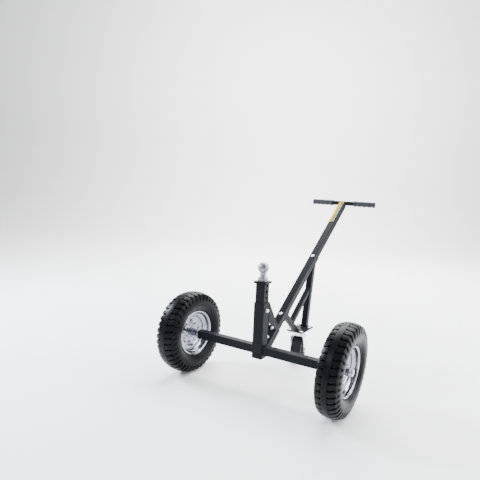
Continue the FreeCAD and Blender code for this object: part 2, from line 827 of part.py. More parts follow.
def fork():
    """Pressed fork: crown with a raised race, bent over into two arms tapering to the axle."""
    y = SWIVEL_Y
    axle_y = SWIVEL_Y + CASTER_TRAIL
    crown_bottom = CROWN_TOP - FORK_SHEET
    outline = [
        (y - 24.0, CROWN_TOP),
        (y - 24.0, CROWN_TOP - 22.0),
        (axle_y - 17.0, CASTER_R - 4.0),
        (axle_y - 12.0, CASTER_R - 13.0),
        (axle_y, CASTER_R - 17.0),
        (axle_y + 12.0, CASTER_R - 13.0),
        (axle_y + 17.0, CASTER_R - 4.0),
        (y + 38.0, CROWN_TOP - 22.0),
        (y + 30.0, CROWN_TOP),
    ]
    solid = side_prism(outline, -FORK_OUTER, FORK_OUTER)
    solid = solid.common(arch(FORK_OUTER, CROWN_TOP, FORK_BEND_R, y - 100, y + 100))
    inside = FORK_OUTER - FORK_SHEET
    crown = solid.cut(arch(inside, crown_bottom, FORK_BEND_R - FORK_SHEET, y - 100, y + 100))
    race = revolved(
        closed_lines([(0, 0), (22.0, 0), (20.0, 15.0), (0, 15.0)]),
        Vector(0, y, CROWN_TOP - 1.0),
        Z_AXIS,
    )
    crown = crown.fuse(race).removeSplitter()
    crown = crown.cut(rod(Vector(0, y, crown_bottom - 1.0), Z_AXIS, KINGPIN_R + RUNNING, 30))
    hole = rod(Vector(-60, axle_y, CASTER_R), X_AXIS, CASTER_AXLE_R + 0.1, 120)
    return swivelled(crown.cut(hole))


def fork_bolt():
    axle_y = SWIVEL_Y + CASTER_TRAIL
    head = place(hexagon(16.0, 5.0, 0), Vector(FORK_OUTER, axle_y, CASTER_R), X_AXIS)
    end = FORK_OUTER + 9.0
    shank = rod(Vector(-end, axle_y, CASTER_R), X_AXIS, CASTER_AXLE_R, end + FORK_OUTER)
    return swivelled(head.fuse(shank).removeSplitter())


def fork_nut():
    axle_y = SWIVEL_Y + CASTER_TRAIL
    nut = hexagon(16.0, 7.0, CASTER_AXLE_R + 0.05)
    return swivelled(place(nut, Vector(-FORK_OUTER, axle_y, CASTER_R), X_AXIS * -1.0))


def caster_tyre():
    """Rounded solid rubber tread."""
    half = CASTER_WIDTH / 2.0
    inner = 54.0
    edges = [
        ((inner, -half + 4.0), (inner + 6.0, -half)),
        ((inner + 6.0, -half), (CASTER_R - 10.0, -half)),
        ((CASTER_R - 10.0, -half), (CASTER_R - 3.2, -half + 5.0), (CASTER_R - 1.2, -half + 12.0)),
        ((CASTER_R - 1.2, -half + 12.0), (CASTER_R, 0), (CASTER_R - 1.2, half - 12.0)),
        ((CASTER_R - 1.2, half - 12.0), (CASTER_R - 3.2, half - 5.0), (CASTER_R - 10.0, half)),
        ((CASTER_R - 10.0, half), (inner + 6.0, half)),
        ((inner + 6.0, half), (inner, half - 4.0)),
        ((inner, half - 4.0), (inner, -half + 4.0)),
    ]
    return swivelled(revolved(edges, Vector(0, SWIVEL_Y + CASTER_TRAIL, CASTER_R), X_AXIS))


def caster_core():
    """Moulded centre: rim, web and a hub as long as the space between the fork's arms."""
    half = CASTER_WIDTH / 2.0
    hub_half = FORK_OUTER - FORK_SHEET - 0.5
    bore = CASTER_AXLE_R + RUNNING
    profile = closed_lines(
        [
            (bore, -hub_half),
            (15.0, -hub_half),
            (17.0, -half + 2.0),
            (22.0, -8.0),
            (44.0, -6.0),
            (47.0, -half + 5.0),
            (54.0, -half + 4.0),
            (54.0, half - 4.0),
            (47.0, half - 5.0),
            (44.0, 6.0),
            (22.0, 8.0),
            (17.0, half - 2.0),
            (15.0, hub_half),
            (bore, hub_half),
        ]
    )
    return swivelled(revolved(profile, Vector(0, SWIVEL_Y + CASTER_TRAIL, CASTER_R), X_AXIS))


# ---------------------------------------------------------------- all pieces
def pieces():
    made = {
        "axle_tube_right": axle_tube(),
        "stub_axle_right": stub_axle(),
        "axle_washers": axle_washers(),
        "axle_nuts": axle_nuts(),
        "post_outer": post_outer(),
        "receiver": receiver(),
        "gusset_right": gusset(),
        "handle_tube": handle_tube(),
        "handle_bolts": handle_bolts(),
        "handle_nuts": handle_nuts(),
        "t_bar": t_bar(),
        "grip_right": grip(),
        "label_stripe": label_stripe(),
        "label_marks": label_marks(),
        "leg": leg(),
        "leg_flange": leg_flange(),
        "brace": brace(),
        "brace_flange": brace_flange(),
        "diagonal": diagonal(),
        "deck_plate": deck_plate(),
        "deck_bolts": deck_bolts(),
        "deck_nuts": deck_nuts(),
        "caster_plate": caster_plate(),
        "kingpin": kingpin(),
        "inner_post": inner_post(),
        "ball_plate": ball_plate(),
        "hitch_ball": hitch_ball(),
        "ball_washer": ball_washer(),
        "ball_nut": ball_nut(),
        "lock_pin": lock_pin(),
        "tyre_right": tyre(),
        "inner_tube_right": inner_tube(),
        "rim_outer_right": rim_half(1),
        "rim_inner_right": rim_half(-1),
        "rim_bolts_right": rim_bolts(),
        "rim_nuts_right": rim_nuts(),
        "hub_right": hub(),
        "bearings_right": bearings(),
        "valve_right": valve(),
        "caster_fork": fork(),
        "caster_bolt": fork_bolt(),
        "caster_nut": fork_nut(),
        "caster_tyre": caster_tyre(),
        "caster_core": caster_core(),
    }
    for name in [n for n in made if n.endswith("_right")]:
        made[name.replace("_right", "_left")] = mirrored(made[name])
    return made


def main():
    os.makedirs("parts", exist_ok=True)
    for name, shape in pieces().items():
        moved = shape.copy()
        moved.translate(Vector(0, AXLE_Y, 0))
        moved.exportStep(os.path.join("parts", name + ".step"))


main()
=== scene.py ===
import json
import math

import bmesh
import bpy
from mathutils import Matrix, Vector

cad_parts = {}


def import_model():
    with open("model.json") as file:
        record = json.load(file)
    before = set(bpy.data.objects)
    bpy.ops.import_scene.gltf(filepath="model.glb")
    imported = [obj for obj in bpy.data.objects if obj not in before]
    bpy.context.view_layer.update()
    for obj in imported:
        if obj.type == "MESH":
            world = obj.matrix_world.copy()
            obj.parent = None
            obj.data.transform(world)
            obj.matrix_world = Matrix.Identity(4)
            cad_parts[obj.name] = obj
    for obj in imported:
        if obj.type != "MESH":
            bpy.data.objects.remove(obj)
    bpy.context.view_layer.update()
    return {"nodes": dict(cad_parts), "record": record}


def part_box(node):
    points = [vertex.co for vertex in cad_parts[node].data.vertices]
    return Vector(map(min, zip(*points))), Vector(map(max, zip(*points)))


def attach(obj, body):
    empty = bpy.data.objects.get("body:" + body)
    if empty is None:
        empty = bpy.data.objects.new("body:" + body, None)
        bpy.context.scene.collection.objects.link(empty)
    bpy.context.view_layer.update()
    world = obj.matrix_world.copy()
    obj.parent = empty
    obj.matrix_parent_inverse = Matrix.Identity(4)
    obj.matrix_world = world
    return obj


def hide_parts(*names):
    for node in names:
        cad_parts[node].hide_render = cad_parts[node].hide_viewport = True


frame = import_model()
MM = 0.001
SIDES = (("left", -1), ("right", 1))
TREAD_SHARP, PRESSING_SHARP, GRIP_SHARP, WELD_SHARP = 32, 50, 50, 60  # degrees, see piece()


# ------------------------------------------------------------------ node helpers
MIX_FACTOR, MIX_A, MIX_B, MIX_RESULT = 0, 6, 7, 2  # a colour mix node's sockets


def shade(colour, factor):
    return tuple(c * factor for c in colour)


def colour_out(node):
    return node.outputs[MIX_RESULT if node.bl_idname == "ShaderNodeMix" else 0]


class Nodes:
    """A small builder for one material's node tree."""

    def __init__(self, name):
        self.mat = bpy.data.materials.new(name)
        self.mat.use_nodes = True
        self.tree = self.mat.node_tree
        self.tree.nodes.clear()
        self.out = self.add("ShaderNodeOutputMaterial")
        self.bsdf = self.add("ShaderNodeBsdfPrincipled")
        self.link(self.bsdf, 0, self.out, "Surface")

    def add(self, kind, **settings):
        node = self.tree.nodes.new(kind)
        for key, value in settings.items():
            setattr(node, key, value)
        return node

    def link(self, a, out, b, into):
        self.tree.links.new(a.outputs[out], b.inputs[into])

    def coords(self, scale=(1, 1, 1)):
        place = self.add("ShaderNodeTexCoord")
        mapping = self.add("ShaderNodeMapping")
        mapping.inputs["Scale"].default_value = scale
        self.link(place, "Object", mapping, "Vector")
        return mapping

    def noise(self, vector, scale, detail, rough, distortion=0.0):
        node = self.add("ShaderNodeTexNoise")
        node.inputs["Scale"].default_value = scale
        node.inputs["Detail"].default_value = detail
        node.inputs["Roughness"].default_value = rough
        node.inputs["Distortion"].default_value = distortion
        self.link(vector, 0, node, "Vector")
        return node

    def ramp(self, source, out, stops):
        """Colours or grey levels along one output of the source, as (position, level) stops."""
        node = self.add("ShaderNodeValToRGB")
        elements = node.color_ramp.elements
        while len(elements) < len(stops):
            elements.new(0.5)
        for element, (at, colour) in zip(elements, stops):
            element.position = at
            if not hasattr(colour, "__len__"):
                colour = (colour, colour, colour)
            element.color = (*colour, 1)
        self.link(source, out, node, "Fac")
        return node

    def mix(self, factor, a, b):
        """Mixes a and b, each a node or a plain colour."""
        node = self.add("ShaderNodeMix", data_type="RGBA")
        for socket, value in ((MIX_A, a), (MIX_B, b)):
            if isinstance(value, bpy.types.Node):
                self.tree.links.new(colour_out(value), node.inputs[socket])
            else:
                node.inputs[socket].default_value = (*value, 1)
        self.link(factor, 0, node, MIX_FACTOR)
        return node

    def bump(self, height, out, strength, distance, below=None):
        node = self.add("ShaderNodeBump")
        node.inputs["Strength"].default_value = strength
        node.inputs["Distance"].default_value = distance
        self.link(height, out, node, "Height")
        if below is not None:
            self.link(below, 0, node, "Normal")
        return node

    def rounded(self, radius):
        """Softens hard edges in the shading."""
        node = self.add("ShaderNodeBevel", samples=4)
        node.inputs["Radius"].default_value = radius
        return node

    def colour(self, node):
        self.tree.links.new(colour_out(node), self.bsdf.inputs["Base Color"])

    def roughness(self, node):
        self.link(node, 0, self.bsdf, "Roughness")

    def normal(self, node):
        self.link(node, 0, self.bsdf, "Normal")

    def set(self, **values):
        for key, value in values.items():
            self.bsdf.inputs[key.replace("_", " ")].default_value = value


# ------------------------------------------------------------------ materials
# Noise scales are per metre of the object; ramp stops are (position, colour or grey level).
def powder_coat():
    """Black semi-gloss powder coat: fine orange peel, faint dust, slightly rubbed edges."""
    n = Nodes("powder_coat")
    at = n.coords()
    cloud = n.noise(at, 9.0, 5.0, 0.6)
    dust = n.noise(at, 160.0, 3.0, 0.6)
    dark, pale = (0.0006, 0.00065, 0.0008), (0.0016, 0.0017, 0.0021)
    base = n.ramp(cloud, "Fac", [(0.3, dark), (0.75, pale)])
    speck = n.ramp(dust, "Fac", [(0.68, 0.0), (0.80, 0.3)])
    geometry = n.add("ShaderNodeNewGeometry")
    rub = n.ramp(geometry, "Pointiness", [(0.53, 0.0), (0.62, 0.5)])
    dusty = n.mix(speck, base, (0.008, 0.0085, 0.010))
    n.colour(n.mix(rub, dusty, (0.020, 0.022, 0.026)))
    n.roughness(n.ramp(cloud, "Fac", [(0.3, 0.28), (0.7, 0.38)]))
    peel = n.noise(at, 700.0, 2.0, 0.5)
    soft = n.rounded(0.9 * MM)
    n.normal(n.bump(peel, "Fac", 0.16, 0.25 * MM, soft))
    n.set(IOR=1.5, Specular_IOR_Level=0.036)
    return n.mat


def tyre_rubber(name, lift):
    """Moulded tyre rubber: mottled black with a faint bloom and fine grain; lift brightens it."""
    n = Nodes(name)
    at = n.coords()
    cloud = n.noise(at, 14.0, 6.0, 0.65, 0.6)
    fine = n.noise(at, 240.0, 4.0, 0.6)
    dark = shade((0.0022, 0.0023, 0.0028), lift)
    pale = shade((0.0052, 0.0055, 0.0068), lift)
    base = n.ramp(cloud, "Fac", [(0.32, dark), (0.72, pale)])
    dust = n.ramp(fine, "Fac", [(0.58, 0.0), (0.75, 0.5)])
    n.colour(n.mix(dust, base, shade((0.012, 0.012, 0.013), lift)))
    n.roughness(n.ramp(cloud, "Fac", [(0.3, 0.27), (0.7, 0.40)]))
    grain = n.noise(at, 900.0, 3.0, 0.6)
    wide = n.noise(at, 60.0, 3.0, 0.5)
    first = n.bump(wide, "Fac", 0.12, 0.8 * MM)
    n.normal(n.bump(grain, "Fac", 0.3, 0.2 * MM, first))
    n.set(IOR=1.5, Specular_IOR_Level=0.075)
    return n.mat


def grip_rubber():
    """Soft dark blue-grey grip rubber with a pebbled skin."""
    n = Nodes("grip_rubber")
    at = n.coords()
    cloud = n.noise(at, 40.0, 4.0, 0.6)
    n.colour(n.ramp(cloud, "Fac", [(0.3, (0.009, 0.010, 0.014)), (0.75, (0.018, 0.020, 0.028))]))
    n.roughness(n.ramp(cloud, "Fac", [(0.3, 0.55), (0.7, 0.7)]))
    pebble = n.add("ShaderNodeTexVoronoi")
    pebble.inputs["Scale"].default_value = 700.0
    n.link(at, 0, pebble, "Vector")
    n.normal(n.bump(pebble, "Distance", 0.35, 0.3 * MM))
    n.set(Specular_IOR_Level=0.35)
    return n.mat


def plated(name, bright, dull, rough, spangle=60.0, bump=0.06, edge=0.5):
    """Plated or polished steel: patchy brightness, fine rolling marks and soft edges."""
    n = Nodes(name)
    at = n.coords()
    cloud = n.noise(at, spangle, 5.0, 0.6, 0.4)
    broad = n.noise(at, 11.0, 3.0, 0.5)
    base = n.ramp(cloud, "Fac", [(0.3, dull), (0.7, bright)])
    stain = n.ramp(broad, "Fac", [(0.55, 0.0), (0.8, 0.4)])
    n.colour(n.mix(stain, base, shade(dull, 0.82)))
    n.roughness(n.ramp(cloud, "Fac", [(0.25, rough * 0.75), (0.75, rough * 1.3)]))
    marks = n.noise(n.coords((1.0, 1.0, 14.0)), 160.0, 3.0, 0.6)
    n.normal(n.bump(marks, "Fac", bump, 0.3 * MM, n.rounded(edge * MM)))
    n.set(Metallic=1.0)
    return n.mat


def printed(name, colour):
    """Screen-printed vinyl: even colour with small voids and a satin face."""
    n = Nodes(name)
    fine = n.noise(n.coords(), 420.0, 4.0, 0.6)
    scuff = n.ramp(fine, "Fac", [(0.62, 0.0), (0.74, 0.45)])
    n.colour(n.mix(scuff, colour, shade(colour, 0.55)))
    n.roughness(n.ramp(fine, "Fac", [(0.3, 0.5), (0.7, 0.65)]))
    n.normal(n.bump(fine, "Fac", 0.08, 0.1 * MM))
    n.set(Specular_IOR_Level=0.0)
    return n.mat


def moulded(name, dark, pale):
    """Moulded black plastic with a fine spark-eroded texture."""
    n = Nodes(name)
    at = n.coords()
    cloud = n.noise(at, 30.0, 4.0, 0.6)
    n.colour(n.ramp(cloud, "Fac", [(0.3, dark), (0.7, pale)]))
    n.roughness(n.ramp(cloud, "Fac", [(0.3, 0.45), (0.7, 0.575)]))
    grain = n.noise(at, 800.0, 2.0, 0.5)
    n.normal(n.bump(grain, "Fac", 0.2, 0.2 * MM, n.rounded(0.6 * MM)))
    return n.mat


# Plated finishes give the bright colour, the dull colour and the roughness, then, where they
# differ from the usual, the patches' scale, the strength of the marks and the edge radius in mm.
MATERIALS = {
    "frame_paint": powder_coat(),
    "zinc_fasteners": plated("zinc_fasteners", (0.80, 0.81, 0.83), (0.62, 0.63, 0.66), 0.30),
    "spindle_steel": plated("spindle_steel", (0.55, 0.55, 0.56), (0.36, 0.36, 0.37), 0.36),
    "grip_rubber": grip_rubber(),
    "label_yellow": printed("label_yellow", (0.55, 0.41, 0.0)),
    "label_white": printed("label_white", (0.45, 0.45, 0.48)),
    "ball_chrome": plated(
        "ball_chrome", (0.27, 0.27, 0.29), (0.23, 0.23, 0.26), 0.42, 25.0, 0.01, 0.6
    ),
    "tyre_rubber": tyre_rubber("tyre_rubber", 1.3),
    "tube_rubber": tyre_rubber("tube_rubber", 0.8),
    "rim_zinc": plated("rim_zinc", (0.34, 0.35, 0.39), (0.21, 0.22, 0.26), 0.15, 30.0, 0.015, 0.3),
    "bearing_steel": plated("bearing_steel", (0.66, 0.66, 0.67), (0.46, 0.46, 0.47), 0.25),
    "caster_zinc": plated("caster_zinc", (0.94, 0.95, 0.97), (0.84, 0.85, 0.88), 0.30, 30.0),
    "caster_rubber": tyre_rubber("caster_rubber", 4.5),
    "caster_core": moulded("caster_core", (0.008, 0.008, 0.009), (0.018, 0.018, 0.020)),
}

SLOT_OF = {part["node"]: part["material_slot"] for part in frame["record"]["subparts"]}
for node_name, node in frame["nodes"].items():
    node.data.materials.clear()
    node.data.materials.append(MATERIALS[SLOT_OF[node_name]])


# ------------------------------------------------------------------ mesh helpers
def middle(node_name):
    low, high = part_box(node_name)
    return (low + high) / 2


def smoothstep(low, high, value):
    """0 at low to 1 at high; with low above high it falls as the value rises."""
    t = min(max((value - low) / (high - low), 0.0), 1.0)
    return t * t * (3 - 2 * t)


def spun(across, radius, angle):
    """A point on a wheel, in metres, from millimetres along its axle and out from it."""
    return (across * MM, radius * MM * math.cos(angle), radius * MM * math.sin(angle))


def skin(rings, around, closed):
    """Faces over rings of points: closed joins the last ring to the first, open caps both ends."""
    faces = []
    for i in range(rings if closed else rings - 1):
        here = i * around
        ahead = (i + 1) % rings * around
        for j in range(around):
            k = (j + 1) % around
            faces.append((here + j, here + k, ahead + k, ahead + j))
    if not closed:
        faces.append(tuple(range(around))[::-1])
        faces.append(tuple(range((rings - 1) * around, rings * around)))
    return faces


def piece(name, verts, faces, slot, body, smooth, place=None, replaces=()):
    """Makes one piece; edges sharper than smooth, in degrees, stay sharp in the shading."""
    mesh = bpy.data.meshes.new(name)
    mesh.from_pydata([tuple(v) for v in verts], [], faces)
    mesh.update()
    work = bmesh.new()
    work.from_mesh(mesh)
    bmesh.ops.recalc_face_normals(work, faces=work.faces)
    work.to_mesh(mesh)
    work.free()
    for polygon in mesh.polygons:
        polygon.use_smooth = True
    mesh.set_sharp_from_angle(angle=math.radians(smooth))
    thing = bpy.data.objects.new(name, mesh)
    bpy.context.scene.collection.objects.link(thing)
    if place is not None:
        thing.matrix_world = place
    mesh.materials.append(MATERIALS[slot])
    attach(thing, body)
    if replaces:
        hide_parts(*replaces)
    return thing


# ------------------------------------------------------------------ tyres
# In millimetres, apart from shares of the pitch. A section point is (across from the tyre's
# middle, radius).
TYRE_R = 199.8
TYRE_HALF = 51.4
CROWN_HALF = 42.0
CROWN_DROP = 9.8
CROWN_POWER = 2.2
SHOULDER_VIA = (48.6, 174.0)
WALL_TOP = (TYRE_HALF, 149.0)
WALL_VIA = (46.8, 127.0)
WALL_FOOT = (37.0, 112.6)
BEAD = [(34.0, 111.6), (32.6, 109.0), (31.2, 102.2), (22.0, 102.2)]
CASING = [(25.0, 112.0), (40.0, 130.0), (45.0, 152.0), (36.0, 176.0), (18.0, 187.0), (0.0, 190.0)]
WALL_RINGS = ((163.0, 1.3, 1.8), (121.0, 1.1, 2.0))  # radius, height and width of each raised line
WALL_FROM = 40.0  # across, beyond which the wall's raised lines count

PITCHES = 42  # tread blocks round the tyre
RIB = 12.5  # half the width of the plain centre rib
CROWN_STATIONS = (0.0, 4.0, 8.0, 11.4, RIB, 13.1, 14.4, 15.0, *range(18, 39, 4), CROWN_HALF)
CHANNEL = (12.9, 14.0)  # the narrow channel beside the rib, across
CHANNEL_DEPTH = 1.6
CHANNEL_MIN_R = 185.0
GROOVE = 8.6  # depth of the grooves between the blocks
GROOVE_FROM = 14.2  # across, where they start
GROOVE_FADE = (156.0, 174.0)  # the radii over which they fade out down the shoulder
WAVE, WAVE_TURNS, WAVE_EASE = 0.085, 1.6, (0, 6)  # share of the pitch, half turns, across
GROOVE_HALF = 0.080  # share of the pitch
HOLE_HALF, HOLE_END = 0.08, (16.5, 19.5)  # added at a groove's inner end: share, across
FLARE_HALF, FLARE = 0.130, (28, 45)  # added towards the shoulder: share, across
STAGGER, STAGGER_EASE = 0.25, (2.0, 11.0)  # offset of each half's grooves: share, across
BLOCK_POINTS = (0.30, 0.5, 0.70)  # shares of the pitch
LIP = 0.25  # how far a block's edge is rounded off
LIP_INSIDE = 0.02  # shares of the pitch, either side of a groove's edge
LIP_OUTSIDE = 0.03
SHOULDER_R = 186.0  # below this radius, grooves cut sideways as well as inwards
LEAN = (190.0, 160.0)  # from wholly inwards to wholly sideways


def arc_points(a, b, c, count):
    """Points on the circle through a, b and c, from a to c, without the first."""
    ax, ay = a
    bx, by = b
    cx, cy = c
    d = 2 * (ax * (by - cy) + bx * (cy - ay) + cx * (ay - by))
    a2, b2, c2 = ax * ax + ay * ay, bx * bx + by * by, cx * cx + cy * cy
    ux = (a2 * (by - cy) + b2 * (cy - ay) + c2 * (ay - by)) / d
    uy = (a2 * (cx - bx) + b2 * (ax - cx) + c2 * (bx - ax)) / d
    radius = math.hypot(ax - ux, ay - uy)
    first = math.atan2(ay - uy, ax - ux)
    last = math.atan2(cy - uy, cx - ux)
    via = math.atan2(by - uy, bx - ux)
    span = (last - first) % (2 * math.pi)
    if (via - first) % (2 * math.pi) > span:
        span -= 2 * math.pi
    points = []
    for i in range(1, count + 1):
        angle = first + span * i / count
        points.append((ux + radius * math.cos(angle), uy + radius * math.sin(angle)))
    return points


def tyre_section():
    """Half a section, from the crown over the wall and bead to the inside of the crown."""
    crown = [(x, TYRE_R - CROWN_DROP * (x / CROWN_HALF) ** CROWN_POWER) for x in CROWN_STATIONS]
    shoulder = arc_points(crown[-1], SHOULDER_VIA, WALL_TOP, 10)
    wall = arc_points(WALL_TOP, WALL_VIA, WALL_FOOT, 12)
    return crown + shoulder + wall + BEAD + CASING


def groove_wave(x):
    """Sideways wander of a cross groove, as a share of the block pitch."""
    reach = max(abs(x) - RIB, 0.0)
    swing = math.sin(reach / (CROWN_HALF - RIB) * WAVE_TURNS * math.pi)
    return WAVE * swing * smoothstep(*WAVE_EASE, reach)


def groove_half(x):
    """Half a cross groove's width, as a share of the pitch: wider at its inner end and outside."""
    reach = abs(x)
    hole = HOLE_HALF * (1 - smoothstep(*HOLE_END, reach))
    return GROOVE_HALF + hole + FLARE_HALF * smoothstep(*FLARE, reach)


def groove_depth(x, r):
    """Full depth across the blocks, fading out down the shoulder."""
    if abs(x) < GROOVE_FROM:
        return 0.0
    return GROOVE * smoothstep(*GROOVE_FADE, r)


def ring_depth(x, r):
    """Depth of what runs right round the tyre; below zero it stands proud."""
    depth = 0.0
    if CHANNEL[0] < abs(x) < CHANNEL[1] and r > CHANNEL_MIN_R:
        depth = CHANNEL_DEPTH
    if abs(x) > WALL_FROM:
        for line_r, height, width in WALL_RINGS:
            depth -= height * math.exp(-(((r - line_r) / width) ** 2))
    return depth


def tyre(side):
    """Tyre with its tread; each block has eight points round the tyre in every row."""
    node_name = "tyre_" + side
    section = tyre_section()
    rows = [(-x, r, -1) for x, r in reversed(section[1:-1])] + [(x, r, 1) for x, r in section]
    step = 2 * math.pi / PITCHES
    verts = []
    for x, r, hand in rows:
        inside = (abs(x), r) in CASING
        depth = 0.0 if inside else groove_depth(x, r)
        ring = 0.0 if inside else ring_depth(x, r)
        lip = LIP * (depth > 0)
        half = groove_half(x)
        stagger = STAGGER * hand * smoothstep(*STAGGER_EASE, abs(x))
        shift = groove_wave(x) * hand + stagger
        columns = (
            (0.0, depth),
            (half - LIP_INSIDE, depth),
            (half + LIP_OUTSIDE, lip),
            *((at, 0.0) for at in BLOCK_POINTS),
            (1 - half - LIP_OUTSIDE, lip),
            (1 - half + LIP_INSIDE, depth),
        )
        lean = smoothstep(*LEAN, r)
        for k in range(PITCHES):
            for at, drop in columns:
                radius = r - (drop + max(ring, 0.0))
                across = x
                if r < SHOULDER_R and not inside:
                    radius = r - drop * (1 - lean)
                    across = x - math.copysign(drop * lean + ring, x)
                    across = math.copysign(min(abs(across), TYRE_HALF), across)
                verts.append(spun(across, radius, (k + at + shift) * step))
    return piece(
        "tyre_tread_" + side,
        verts,
        skin(len(rows), PITCHES * len(columns), True),
        "tyre_rubber",
        side + "_wheel",
        TREAD_SHARP,
        Matrix.Translation(middle(node_name)),
        (node_name,),
    )


for wheel_side, _ in SIDES:
    tyre(wheel_side)


# ------------------------------------------------------------------ rims
# Each stamped half's middle line, in millimetres: radius, and height out from the wheel's middle.
RIM_LINE = [
    (18.4, 1.0),
    (24.0, 1.0),
    (25.5, 3.0),
    (28.5, 3.0),
    (30.0, 1.0),
    (64.0, 1.0),
    (70.0, 7.0),
    (86.0, 7.0),
    (95.0, 13.0),
    (100.5, 19.0),
    (100.5, 31.0),
    (103.5, 33.4),
    (108.4, 34.3),
    (109.6, 36.0),
]
RIM_SHEET_HALF = 0.95
RIM_AROUND = 240
RIM_BOLT_ANGLE = 82.0
LOBES = 4
LOBE_RADII = (30.0, 66.0)
LOBE_ARC_R = 48.0  # the radius at which a lobe's width is measured
LOBE_HALF_WIDTH = 17.5
LOBE_MIDDLE_R = 47.5
LOBE_HALF_LENGTH = 14.0
LOBE_SQUARENESS = 2.6
LOBE_HEIGHT, LOBE_EDGE = 5.0, (0.72, 1.12)  # the edge is in shares of the half width
LOBE_DISH, LOBE_DISH_EDGE = 2.4, (0.25, 0.62)
BEND_ROUNDS = 2


def eased_line(points, rounds):
    """Corner cutting, so that the pressed bends have a radius."""
    for _ in range(rounds):
        out = [points[0]]
        for a, b in zip(points, points[1:]):
            out.append((a[0] * 0.75 + b[0] * 0.25, a[1] * 0.75 + b[1] * 0.25))
            out.append((a[0] * 0.25 + b[0] * 0.75, a[1] * 0.25 + b[1] * 0.75))
        out.append(points[-1])
        points = out
    return points


def lobe(r, angle):
    """Height of the pads pressed between the rim's bolts, each rounded with a dished top."""
    if not LOBE_RADII[0] < r < LOBE_RADII[1]:
        return 0.0
    turn = math.radians(RIM_BOLT_ANGLE) + math.pi / LOBES
    sector = 2 * math.pi / LOBES
    away = (angle - turn + sector / 2) % sector - sector / 2
    across = away * LOBE_ARC_R / LOBE_HALF_WIDTH
    along = (r - LOBE_MIDDLE_R) / LOBE_HALF_LENGTH
    power = LOBE_SQUARENESS
    reach = (abs(across) ** power + abs(along) ** power) ** (1 / power)
    pad = LOBE_HEIGHT * (1 - smoothstep(*LOBE_EDGE, reach))
    return pad - LOBE_DISH * (1 - smoothstep(*LOBE_DISH_EDGE, reach))


def rim(side, sign, face):
    """One stamped half; the outer one faces away from the dolly's middle."""
    outward = sign * (1 if face == "outer" else -1)
    line = eased_line(RIM_LINE, BEND_ROUNDS)
    count = len(line)
    loops = []
    for direction, order in ((1, range(count)), (-1, reversed(range(count)))):
        for k in order:
            r, h = line[k]
            before = line[max(k - 1, 0)]
            after = line[min(k + 1, count - 1)]
            size = math.hypot(after[0] - before[0], after[1] - before[1])
            shift = RIM_SHEET_HALF * direction / size
            off_r = r - (after[1] - before[1]) * shift
            off_h = h + (after[0] - before[0]) * shift
            loops.append((off_r, off_h, r))
    verts = []
    for r, h, base in loops:
        for j in range(RIM_AROUND):
            angle = 2 * math.pi * j / RIM_AROUND
            verts.append(spun(outward * (h + lobe(base, angle)), r, angle))
    return piece(
        "rim_pressing_" + face + "_" + side,
        verts,
        skin(len(loops), RIM_AROUND, True),
        "rim_zinc",
        side + "_wheel",
        PRESSING_SHARP,
        Matrix.Translation(middle("tyre_" + side)),
        ("rim_" + face + "_" + side,),
    )


for wheel_side, wheel_sign in SIDES:
    rim(wheel_side, wheel_sign, "outer")
    rim(wheel_side, wheel_sign, "inner")


# ------------------------------------------------------------------ grips
GRIP_AROUND = 56
GRIP_ALONG = 110
GRIP_GAP = 0.05 * MM  # kept between the sleeve and the CAD grip's outside
COLLAR_RISE = 1.4 * MM
COLLAR_END, TIP_START, CLOSE = (0.028, 0.05), (0.955, 0.975), (0.985, 1.0)  # shares of its length
FINGERS = 4
FINGER_START, FINGER_SPAN = 0.06, 0.90  # shares of its length
FINGER_FADE = 0.8  # power, how fast the fingers fade out up the sides
FINGER_TURN = 0.45  # radians, from straight down towards the wheels
FINGER_CREST, FINGER_TROUGH = 1.3, 1.6
RIDGE_HEIGHT = 0.18 * MM  # fine ridges on the upper side
RIDGE_PITCH = 3.0 * MM
END_ROUNDING = 2.2 * MM


def grip(side, sign):
    """Rubber grip whose finger grooves are only on the underside."""
    node_name = "grip_" + side
    low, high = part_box(node_name)
    start = min(abs(low.x), abs(high.x))
    length = high.x - low.x
    centre = (low + high) / 2
    edge = (high.z - low.z) / 2 - GRIP_GAP
    body_r = edge - COLLAR_RISE
    verts = []
    for i in range(GRIP_ALONG + 1):
        t = i / GRIP_ALONG
        x = t * length
        collar = 1 - smoothstep(*COLLAR_END, t)
        tip = smoothstep(*TIP_START, t)
        close = smoothstep(*CLOSE, t)
        reach = min(max((t - FINGER_START) / FINGER_SPAN, 0), 1)
        fingers = 0.5 - 0.5 * math.cos(2 * math.pi * reach * FINGERS)
        swell = FINGER_CREST * (1 - fingers) - FINGER_TROUGH * fingers
        ridge = RIDGE_HEIGHT * math.cos(2 * math.pi * x / RIDGE_PITCH)
        for j in range(GRIP_AROUND):
            angle = 2 * math.pi * j / GRIP_AROUND
            under = max(0.0, -math.sin(angle + FINGER_TURN)) ** FINGER_FADE
            radius = body_r + swell * under * (1 - collar) * (1 - tip) * MM
            radius += (edge - body_r) * max(collar, tip)
            radius += ridge * (1 - under) * (1 - collar) * (1 - tip)
            radius = min(radius, edge) - END_ROUNDING * close
            verts.append((sign * x, radius * math.cos(angle), radius * math.sin(angle)))
    return piece(
        "grip_sleeve_" + side,
        verts,
        skin(GRIP_ALONG + 1, GRIP_AROUND, False),
        "grip_rubber",
        "frame",
        GRIP_SHARP,
        Matrix.Translation((sign * start, centre.y, centre.z)),
        (node_name,),
    )


for grip_side, grip_sign in SIDES:
    grip(grip_side, grip_sign)


